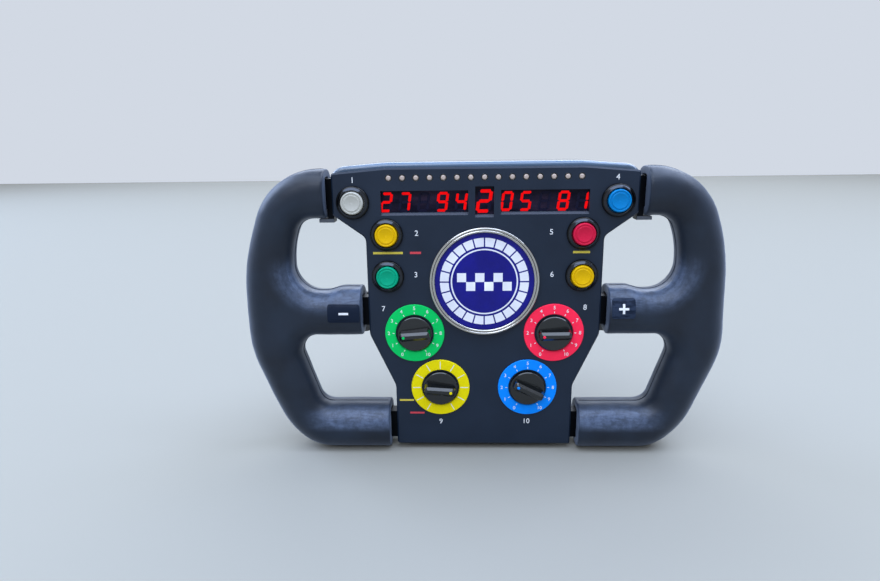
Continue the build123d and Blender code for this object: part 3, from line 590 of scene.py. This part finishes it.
def settle(obj):
    """Puts a piece's place into its mesh."""
    alone(obj)
    bpy.ops.object.transform_apply(location=True, rotation=True, scale=True)
    return obj


def twin(obj):
    """Copies a piece, with a mesh of its own and none of the frame's marks."""
    made = obj.copy()
    made.data = obj.data.copy()
    made.parent = None
    for key in list(made.keys()):
        del made[key]
    bpy.context.scene.collection.objects.link(made)
    return made


def join(parts):
    bpy.ops.object.select_all(action="DESELECT")
    for part in parts:
        part.select_set(True)
    bpy.context.view_layer.objects.active = parts[0]
    if len(parts) > 1:
        bpy.ops.object.join()
    return parts[0]


def copies(pattern, places):
    """Copies a piece to each place, each copy with its own mesh, and joins them."""
    made = []
    for place in places:
        copy = twin(pattern)
        copy.data.transform(place)
        made.append(copy)
    bpy.data.objects.remove(pattern)
    return join(made)


def piece(obj, name, body, material):
    """Names a finished piece, gives it its material and hangs it on its body."""
    obj.name = name
    obj.data.materials.clear()
    obj.data.materials.append(material)
    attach(obj, body)
    return obj


def at(x_mm, y, z_mm):
    """A place on the wheel. Every x and z that goes in here is in millimetres, and y in metres."""
    return Matrix.Translation((x_mm * MM, y, z_mm * MM))


FACING_FRONT = Matrix.Rotation(radians(90), 4, "X")
FACING_COLUMN = Matrix.Rotation(radians(-90), 4, "X")

# x outwards, y and z of each hollow's middle, its reach, and its push outwards, back and up, in
# millimetres. The right grip's outer wall is drawn in as well.
PRESSED = [
    (91.0, -79.0, -6.0, 14.0, (0.0, 1.6, -1.2)),
    (78.0, -79.5, -8.0, 8.0, (0.0, 0.9, 0.0)),
    (109.0, -77.0, 4.0, 12.0, (0.6, 1.0, 0.0)),
    (80.0, -80.0, -82.0, 12.0, (0.0, 0.5, -0.4)),
]
DRAWN_IN = (139.0, -66.0, -6.0, 36.0, (-1.7, 0.0, 0.0))
HOLLOWS = {"left": PRESSED, "right": [*PRESSED, DRAWN_IN]}
HOLLOW_CORE = 3.0 * MM


# Grips: the solid's own shape, gone over with rubber's softness and the hollows of use
def soft_grip(side, sign):
    grip = twin(nodes[f"grip_{side}"])
    edit(grip, "SELECT")
    bpy.ops.mesh.remove_doubles(threshold=0.01 * MM)
    close()
    use(grip, "REMESH", mode="VOXEL", voxel_size=0.85 * MM, use_smooth_shade=True)
    use(grip, "SMOOTH", factor=0.5, iterations=2)

    for x, y, z, reach, (push_x, push_y, push_z) in HOLLOWS[side]:
        edit(grip)
        middle = Vector((sign * x * MM, y * MM, z * MM))
        select("VERT", lambda vertex: (vertex.co - middle).length < HOLLOW_CORE)
        bpy.ops.transform.translate(
            value=(sign * push_x * MM, push_y * MM, push_z * MM),
            use_proportional_edit=True,
            proportional_edit_falloff="SMOOTH",
            proportional_size=reach * MM,
        )
        close()

    lumps = bpy.data.textures.new("lumps", "CLOUDS")
    lumps.noise_scale = 16.0 * MM
    lumpy = {"texture": lumps, "texture_coords": "LOCAL", "strength": 0.5 * MM, "mid_level": 1.0}
    use(grip, "DISPLACE", **lumpy)
    use(grip, "DISPLACE", strength=-0.15 * MM, mid_level=0.0)
    bpy.data.textures.remove(lumps)
    bpy.ops.object.shade_smooth()
    piece(grip, f"rubber_grip_{side}", "wheel", RUBBER)
    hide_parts(f"grip_{side}")
    return grip


GRIPS = {"left": soft_grip("left", -1), "right": soft_grip("right", 1)}

# Size of the font over the height of its figures
FONT_SIZE = 1.38


# Text and signs that are printed on, always plain numbers or marks
def printed(text, x, z, height_mm, y=FACE_Y):
    bpy.ops.object.text_add()
    words = bpy.context.object
    words.data.body = text
    words.data.size = height_mm * MM * FONT_SIZE
    words.data.align_x = "CENTER"
    words.data.align_y = "CENTER"
    words.data.extrude = PRINT / 2
    words.data.resolution_u = 4
    words.data.offset = 0.02 * MM
    words.matrix_world = at(x, y, z) @ FACING_FRONT
    alone(words)
    bpy.ops.object.convert(target="MESH")
    return settle(bpy.context.object)


def bar(x, z, width_mm, height_mm, y=FACE_Y):
    """A thin bar of ink on a surface that faces the front."""
    bpy.ops.mesh.primitive_plane_add(size=1.0)
    strip = bpy.context.object
    edit(strip, "SELECT")
    bpy.ops.transform.resize(value=(width_mm * MM, height_mm * MM, 1.0))
    pull_up(PRINT)
    close()
    strip.matrix_world = at(x, y, z) @ FACING_FRONT
    return settle(strip)


# x, z in millimetres of the numbers 1 to 10, each beside the button or dial that it counts
number_places = [
    (-73.5, 57.9),
    (-38.4, 27.9),
    (-39.2, 3.9),
    (73.0, 58.2),
    (37.6, 28.1),
    (38.6, 3.7),
    (-58.6, -16.3),
    (58.2, -15.9),
    (-25.9, -87.6),
    (25.7, -87.4),
]
numbers = [
    printed(str(count), x, z, height_mm=3.2) for count, (x, z) in enumerate(number_places, 1)
]
piece(join(numbers), "control_numbers", "wheel", WHITE_INK)

# name, ink, slot and the bars of that colour: x, z, width, height in millimetres
yellow_bars = [(-54.9, 16.8, 17.0, 1.3), (54.8, 16.6, 9.5, 1.3), (-46.4, -73.6, 8.6, 1.1)]
red_bars = [(-39.2, 16.8, 6.3, 1.3), (-40.2, -81.9, 8.6, 1.1)]
stripes = [
    ("yellow_stripes", "#C9B84A", "cap_yellow", yellow_bars),
    ("red_stripes", "#C8444E", "cap_red", red_bars),
]
for name, colour, slot, bars in stripes:
    ink = paint(f"{name}_screen_ink", colour, 0.5)
    piece(join([bar(*sizes) for sizes in bars]), name, "wheel", ink)

# Numbers 0 to 10 round each dial, clockwise from seven o'clock, with a tick inside each. The
# yellow dial has long ticks alone. Lengths are in millimetres.
NUMBER_RADIUS_MM = 15.2
TICK_RADIUS_MM = 11.9
FIRST_ANGLE = 240
ANGLE_STEP = 30
tick_lengths = {"green": 1.1, "red": 1.1, "yellow": 4.6, "blue": 1.1}
for name, dial_x, dial_z, _ in DIALS:
    marks = []
    length = tick_lengths[name]
    outwards = Matrix.Translation(((TICK_RADIUS_MM + length / 2) * MM, 0, 0))
    for number in range(11):
        turn = radians(FIRST_ANGLE - ANGLE_STEP * number)
        if name != "yellow":
            x = dial_x + NUMBER_RADIUS_MM * cos(turn)
            z = dial_z + NUMBER_RADIUS_MM * sin(turn)
            marks.append(printed(str(number), x, z, height_mm=2.1, y=RING_FRONT_Y))
        tick = bar(0, 0, width_mm=length, height_mm=0.4, y=0)
        turned = Matrix.Rotation(-turn, 4, "Y")
        tick.data.transform(at(dial_x, RING_FRONT_Y, dial_z) @ turned @ outwards)
        marks.append(tick)
    piece(join(marks), f"dial_marks_{name}", "wheel", WHITE_INK)


# Seven-segment characters; the segments are lettered clockwise from the top, g is the middle
SHAPES = {
    "0": "abcdef",
    "1": "bc",
    "2": "abged",
    "4": "fgbc",
    "5": "afgcd",
    "7": "abc",
    "8": "abcdefg",
    "9": "abcdfg",
}
SLANT = tan(radians(8.0))
SEGMENT_GAP_MM = 0.25


def segment(length_mm, width_mm):
    """One bar of a character: a long hexagon with points at its ends, a little raised."""
    bpy.ops.mesh.primitive_circle_add(vertices=6, radius=1.0, fill_type="NGON")
    made = bpy.context.object
    edit(made, "SELECT")
    has_side_tips = max(abs(vertex.co.x) for vertex in made.data.vertices) > 0.95
    turn = 0.0 if has_side_tips else pi / 6
    bpy.ops.transform.rotate(value=turn, orient_axis="Z", center_override=(0, 0, 0))
    half = width_mm * MM / 2
    bpy.ops.transform.resize(value=(half, half / sin(pi / 3), 1.0))
    for end in (-1, 1):
        select("VERT", lambda vertex: vertex.co.x * end > 0)
        bpy.ops.transform.translate(value=(end * (length_mm - width_mm) / 2 * MM, 0, 0))
    bpy.ops.mesh.select_all(action="SELECT")
    pull_up(SEGMENT_HEIGHT)
    return close()


def characters(name, text, places, height_mm, width_mm, thick_mm):
    """Lights up one character at each place, and shows the rest of each as dark segments."""
    half = height_mm / 2
    side = width_mm / 2
    lying = (width_mm, Matrix.Identity(4))
    standing = (half, Matrix.Rotation(radians(90), 4, "Z"))
    spots = {
        "a": (0, half, lying),
        "b": (side, half / 2, standing),
        "c": (side, -half / 2, standing),
        "d": (0, -half, lying),
        "e": (-side, -half / 2, standing),
        "f": (-side, half / 2, standing),
        "g": (0, 0, lying),
    }
    slanted = Matrix.Identity(4)
    slanted[0][1] = SLANT
    lit, unlit = [], []
    for character, (x, z) in zip(text, places):
        for letter, (off_x, off_z, (length, turn)) in spots.items():
            placed = Matrix.Translation((off_x * MM, off_z * MM, 0)) @ turn
            made = segment(length - SEGMENT_GAP_MM, thick_mm)
            made.data.transform(at(x, PLATE_BACK_Y, z) @ FACING_FRONT @ slanted @ placed)
            (lit if letter in SHAPES.get(character, "") else unlit).append(made)
    piece(join(lit), f"{name}_lit", "wheel", LIT)
    piece(join(unlit), f"{name}_unlit", "wheel", DIM)


# x, z in millimetres of the middle of each character
left_places = [(x, 45.2) for x in (-55.3, -44.8, -34.2, -23.6, -13.0)]
right_places = [(x, 45.2) for x in (12.7, 23.2, 33.7, 44.3, 54.8)]
small = {"height_mm": 9.6, "width_mm": 5.0, "thick_mm": 1.5}
large = {"height_mm": 11.2, "width_mm": 6.4, "thick_mm": 1.9}
characters("left_digits", "27 94", left_places, **small)
characters("right_digits", "05 81", right_places, **small)
characters("gear_digit", "2", [(0.0, 45.4)], **large)


# Holders of the shift lamps: a black collar that fills the gap round each lens
def lamp_holder(radius_mm, bore_share, height_mm, edge_mm):
    bpy.ops.mesh.primitive_circle_add(vertices=32, radius=radius_mm * MM)
    made = bpy.context.object
    edit(made, "SELECT")
    bpy.ops.mesh.extrude_region_move()
    bpy.ops.transform.resize(value=(bore_share, bore_share, 1.0))
    bpy.ops.mesh.select_all(action="SELECT")
    pull_up(height_mm * MM)
    select_upper_edges(height_mm * MM * 0.95)
    bpy.ops.mesh.bevel(offset=edge_mm * MM, segments=2)
    return close(40)


LAMP_PITCH_MM = 7.62
LAMP_ROW_Z_MM = 58.9
lamp_row = [at(LAMP_PITCH_MM * step, LAMP_HOLDER_Y, LAMP_ROW_Z_MM) for step in range(-7, 8)]
lamp_places = [place @ FACING_FRONT for place in lamp_row]
holder = lamp_holder(radius_mm=1.92, bore_share=0.8, height_mm=1.55, edge_mm=0.1)
holders = copies(holder, lamp_places)
piece(holders, "lamp_holders", "wheel", BLACK_PLASTIC)


# Nuts of the push buttons: a ring of black chrome round each cap, sunk into the bezel. The outer
# front corner of its square section is pushed back to a cone, and the inner one is rolled.
def button_nut(radius_mm, side_mm, middle_y_mm, cone_mm, edge_mm):
    bpy.ops.mesh.primitive_plane_add(size=1.0)
    made = bpy.context.object
    near_front = (middle_y_mm - side_mm / 2 + 0.1) * MM
    edit(made, "SELECT")
    bpy.ops.transform.resize(value=(side_mm * MM, side_mm * MM, 1.0))
    bpy.ops.transform.translate(value=(radius_mm * MM, middle_y_mm * MM, 0))
    select("VERT", lambda vertex: vertex.co.x > radius_mm * MM and vertex.co.y < near_front)
    bpy.ops.transform.translate(value=(0, cone_mm * MM, 0))
    select("VERT", lambda vertex: vertex.co.y < near_front)
    bpy.ops.mesh.bevel(offset=edge_mm * MM, segments=3, affect="VERTICES")
    close()
    round_trip = {"axis": "Y", "angle": 2 * pi, "steps": 72, "render_steps": 72}
    use(made, "SCREW", use_merge_vertices=True, merge_threshold=0.001 * MM, **round_trip)
    edit(made)
    return close(50)


nut = button_nut(radius_mm=7.75, side_mm=1.4, middle_y_mm=-0.4, cone_mm=1.15, edge_mm=0.22)
nuts = copies(nut, [at(x, NUT_Y, z) for _, x, z in BUTTONS])
piece(nuts, "button_nuts", "wheel", BLACK_CHROME)


def rolled_disc(radius_mm, height_mm, edge_mm, sides):
    """A disc or pin that stands on z = 0, with a rolled upper edge."""
    bpy.ops.mesh.primitive_circle_add(vertices=sides, radius=radius_mm * MM, fill_type="NGON")
    made = bpy.context.object
    edit(made, "SELECT")
    pull_up(height_mm * MM)
    select_upper_edges(height_mm * MM * 0.9)
    bpy.ops.mesh.bevel(offset=edge_mm * MM, segments=3)
    return close(35)


# Pointer dots: a drop of paint that fills the recess near the pointer's end, on the fin's slope.
# The slope starts at the tail of the fin's ridge and falls by 2.4 mm over 18.6 mm.
FIN_TAIL = Matrix.Translation((-9.6 * MM, -10.0 * MM, 0))
FIN_SLOPE = Matrix.Rotation(atan2(2.4, 18.6), 4, "Z")
RECESS_FLOOR = Matrix.Translation((16.0 * MM, 0.28 * MM, 0))
for name, x, z, angle in DIALS:
    drop = rolled_disc(radius_mm=0.86, height_mm=0.5, edge_mm=0.225, sides=24)
    turn = Matrix.Rotation(-radians(angle), 4, "Y")
    in_recess = FIN_TAIL @ FIN_SLOPE @ RECESS_FLOOR
    drop.data.transform(at(x, FACE_Y, z) @ turn @ in_recess @ FACING_FRONT)
    dot_paint = paint(f"{name}_pointer_paint", ring_colours[name], 0.35)
    piece(drop, f"pointer_dot_{name}", f"{name}_dial", dot_paint)


# Tabs on the spokes: a thin rubber patch that lies on the grip, with a plus or a minus on it
def tab(under, x, z, width_mm, height_mm, lift_mm, thick_mm, edge_mm=0.0):
    bpy.ops.mesh.primitive_plane_add(size=1.0)
    patch = bpy.context.object
    short = min(width_mm, height_mm) * MM
    tall = height_mm * MM
    edit(patch, "SELECT")
    bpy.ops.transform.resize(value=(width_mm * MM, tall, 1.0))
    bpy.ops.mesh.bevel(offset=0.12 * short, segments=4, affect="VERTICES")
    bpy.ops.mesh.select_all(action="SELECT")
    bpy.ops.mesh.inset(thickness=0.15 * short)
    for eighths in range(1, 8):
        bpy.ops.mesh.select_all(action="SELECT")
        cut = (0, tall * (eighths / 8 - 0.5), 0)
        bpy.ops.mesh.bisect(plane_co=cut, plane_no=(0, 1, 0))
    close()
    patch.matrix_world = at(x, -90 * MM, z) @ FACING_FRONT
    settle(patch)
    use(
        patch,
        "SHRINKWRAP",
        target=under,
        wrap_method="PROJECT",
        use_project_x=False,
        use_project_y=True,
        use_project_z=False,
        use_negative_direction=False,
        use_positive_direction=True,
        offset=lift_mm * MM,
    )
    use(patch, "SOLIDIFY", thickness=thick_mm * MM, offset=1.0)
    if edge_mm:
        corners = {"limit_method": "ANGLE", "angle_limit": radians(50)}
        use(patch, "BEVEL", width=edge_mm * MM, segments=2, **corners)
    bpy.ops.object.shade_smooth_by_angle(angle=radians(40))
    return patch


# The strokes of a minus or a plus, in millimetres
STROKE_LONG = 5.6
STROKE_WIDE = 1.3
inked = {"lift_mm": 0.01, "thick_mm": 0.08}

# side, x, z, width, height in millimetres
tabs = [
    ("left", -81.1, -17.4, 18.6, 10.4),
    ("right", 78.9, -15.3, 13.2, 11.4),
]
for side, x, z, width, height in tabs:
    patch = tab(GRIPS[side], x, z, width, height, lift_mm=0.0, thick_mm=0.45, edge_mm=0.12)
    strokes = [tab(patch, x, z, STROKE_LONG, STROKE_WIDE, **inked)]
    if side == "right":
        strokes.append(tab(patch, x, z, STROKE_WIDE, STROKE_LONG, **inked))
    piece(patch, f"spoke_tab_{side}", "wheel", TAB_RUBBER[side])
    piece(join(strokes), f"spoke_sign_{side}", "wheel", WHITE_INK)


# Socket screws: a round head with rolled edges and a six-sided hole
def socket_screw(head_mm, height_mm, key_mm, key_depth_mm):
    bpy.ops.mesh.primitive_circle_add(vertices=6, radius=key_mm * MM)
    key = bpy.context.object
    bpy.ops.mesh.primitive_circle_add(vertices=36, radius=head_mm * MM)
    made = join([bpy.context.object, key])
    outside = head_mm * MM * 0.98
    inside = key_mm * MM * 1.02

    def on_rim(vertex):
        return vertex.co.length > outside

    def on_upper_rim(vertex):
        return on_rim(vertex) and vertex.co.z > -0.01 * MM

    edit(made, "SELECT")
    bpy.ops.mesh.bridge_edge_loops()
    select("EDGE", lambda edge: all(on_rim(vertex) for vertex in edge.verts))
    pull_up(-height_mm * MM)
    bpy.ops.mesh.edge_face_add()
    select("EDGE", lambda edge: all(vertex.co.length < inside for vertex in edge.verts))
    pull_up(-key_depth_mm * MM)
    bpy.ops.mesh.edge_face_add()
    select("EDGE", lambda edge: all(on_upper_rim(vertex) for vertex in edge.verts))
    bpy.ops.mesh.bevel(offset=height_mm * MM * 0.25, segments=4)
    return close(35)


def screws(name, places, **sizes_mm):
    made = copies(socket_screw(**sizes_mm), [place @ FACING_COLUMN for place in places])
    piece(made, name, "wheel", STEEL)


posts = [(sign * x, z) for x, z in [(62.0, 57.3), (58.3, -14.0), (43.7, -93.7)] for sign in (-1, 1)]
post_places = [at(x, HOUSING_BACK_Y - 0.2 * MM, z) for x, z in posts]
small_screw = {"head_mm": 2.8, "height_mm": 1.7, "key_mm": 1.35, "key_depth_mm": 1.1}
screws("housing_screws", post_places, **small_screw)
BOLT_RADIUS_MM = 27.5
bolt_turns = [radians(60 * step) for step in range(6)]
bolts = [(BOLT_RADIUS_MM * cos(turn), BOLT_RADIUS_MM * sin(turn)) for turn in bolt_turns]
bolt_places = [at(x, FLANGE_BACK_Y - 0.1 * MM, z) for x, z in bolts]
bolt = {"head_mm": 4.1, "height_mm": 2.8, "key_mm": 2.1, "key_depth_mm": 1.7}
screws("hub_bolts", bolt_places, **bolt)


# Spring between the flange and the release collar, which presses it when it is pulled
def coil_spring(inner_y, outer_y, radius_mm, wire_mm, turns):
    bpy.ops.mesh.primitive_circle_add(vertices=12, radius=wire_mm * MM)
    made = bpy.context.object
    made.location = (radius_mm * MM, inner_y + wire_mm * MM, 0)
    settle(made)
    rise = (outer_y - inner_y - 2 * wire_mm * MM) / turns
    use(made, "SCREW", axis="Y", screw_offset=rise, iterations=turns, steps=48, render_steps=48)
    edit(made, "SELECT")
    bpy.ops.mesh.remove_doubles(threshold=0.005 * MM)
    bpy.ops.mesh.fill_holes(sides=0)
    return close(60)


spring = coil_spring(FLANGE_BACK_Y, COLLAR_FRONT_Y, radius_mm=21.9, wire_mm=0.75, turns=5)
piece(spring, "release_spring", "wheel", BRIGHT_STEEL)
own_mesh(spring)

# Contacts of the connector, three inside nine, in a moulded insert
SOCKET_Z_MM = -72.0
insert = rolled_disc(radius_mm=6.9, height_mm=0.9, edge_mm=0.3, sides=48)
insert.data.transform(at(0, SOCKET_FLOOR_Y, SOCKET_Z_MM) @ FACING_COLUMN)
piece(insert, "connector_insert", "wheel", BLACK_PLASTIC)
# radius in millimetres and angle in degrees
contact_turns = [(1.8, 90 + 120 * step) for step in range(3)]
contact_turns += [(4.7, 40 * step) for step in range(9)]
contact_places = []
for radius, degrees in contact_turns:
    x, z = radius * cos(radians(degrees)), radius * sin(radians(degrees))
    contact_places.append(at(x, SOCKET_FLOOR_Y, SOCKET_Z_MM + z) @ FACING_COLUMN)
contact = rolled_disc(radius_mm=0.5, height_mm=4.2, edge_mm=0.3, sides=14)
contacts = copies(contact, contact_places)
piece(contacts, "connector_contacts", "wheel", GOLD)


# Height of each lug's socket in the grips, and its inner and outer end, in millimetres
LUG_SOCKETS = [(47.5, 88.6, 103.8), (-18.6, 70.2, 85.6), (-91.3, 55.6, 71.0)]


def by_socket(vertex):
    """Whether a point of the parting plane lies in a lug's socket or on the grip's end."""
    x_mm = abs(vertex.co.x) / MM
    for middle, inner, outer in LUG_SOCKETS:
        off_mm = abs(vertex.co.z / MM - middle)
        in_socket = inner - 2 < x_mm < outer and off_mm < 9.4
        on_end = x_mm < inner + 1.6 and off_mm < 16
        if in_socket or on_end:
            return True
    return False


# Parting line of each grip: the thin bead that the mould leaves round its middle
def mould_line(side):
    made = twin(GRIPS[side])
    edit(made, "SELECT")
    plane = {"plane_co": (0, GRIP_MID_Y, 0), "plane_no": (0, 1, 0)}
    bpy.ops.mesh.bisect(clear_inner=True, clear_outer=True, **plane)
    select("VERT", by_socket)
    bpy.ops.mesh.delete(type="VERT")
    bpy.ops.mesh.select_all(action="SELECT")
    bpy.ops.mesh.vertices_smooth(factor=0.5, repeat=6)
    bpy.ops.object.mode_set(mode="OBJECT")
    bpy.ops.object.convert(target="CURVE")
    line = bpy.context.object
    line.data.bevel_depth = 0.28 * MM
    line.data.bevel_resolution = 2
    line.data.use_fill_caps = True
    bpy.ops.object.convert(target="MESH")
    bpy.ops.object.shade_smooth()
    piece(bpy.context.object, f"mould_line_{side}", "wheel", RUBBER)


mould_line("left")
mould_line("right")


# Floor and light: an even pale studio, with its softest light above and behind the wheel
bpy.ops.mesh.primitive_plane_add(size=5.0, location=(0, 0, FLOOR_Z))
floor = bpy.context.object
floor.name = "floor"
floor.data.materials.append(finish("matt_paper_floor", "#8B8A83", 0.9, MATT)[0])

world = bpy.data.worlds.new("studio")
world.use_nodes = True
background = world.node_tree.nodes["Background"].inputs
background["Color"].default_value = linear("#D2D9E4")
background["Strength"].default_value = 1.0
bpy.context.scene.world = world

# name, place, what it looks at, width, height, watts, colour
lamps = [
    ("behind", (0.3, 2.6, 2.0), (0.0, 0.0, 0.0), 4.0, 1.6, 90.0, "#E2ECFC"),
    ("overhead", (-0.4, -0.8, 2.1), (0.0, -0.05, 0.0), 3.0, 1.5, 62.0, "#D4E4FF"),
    ("left", (-2.2, 0.8, 1.3), (0.0, -0.05, 0.0), 1.6, 1.6, 60.0, "#C4D9FF"),
    ("right", (1.5, 0.2, 2.2), (0.0, -0.05, 0.0), 2.0, 2.0, 85.0, "#CCDDFF"),
    ("front", (-0.9, -2.6, 1.9), (0.0, -0.05, 0.0), 1.6, 1.2, 34.0, "#E4ECFF"),
]
for name, place, target, width, height, watts, colour in lamps:
    light = bpy.data.lights.new(name, "AREA")
    light.shape = "RECTANGLE"
    light.size = width
    light.size_y = height
    light.energy = watts
    light.color = linear(colour)[:3]
    holder = bpy.data.objects.new(name, light)
    holder.location = place
    holder.rotation_euler = (Vector(target) - Vector(place)).to_track_quat("-Z", "Y").to_euler()
    holder.visible_camera = False
    bpy.context.scene.collection.objects.link(holder)

bpy.context.scene.view_settings.view_transform = "Standard"
bpy.context.scene.view_settings.look = "None"
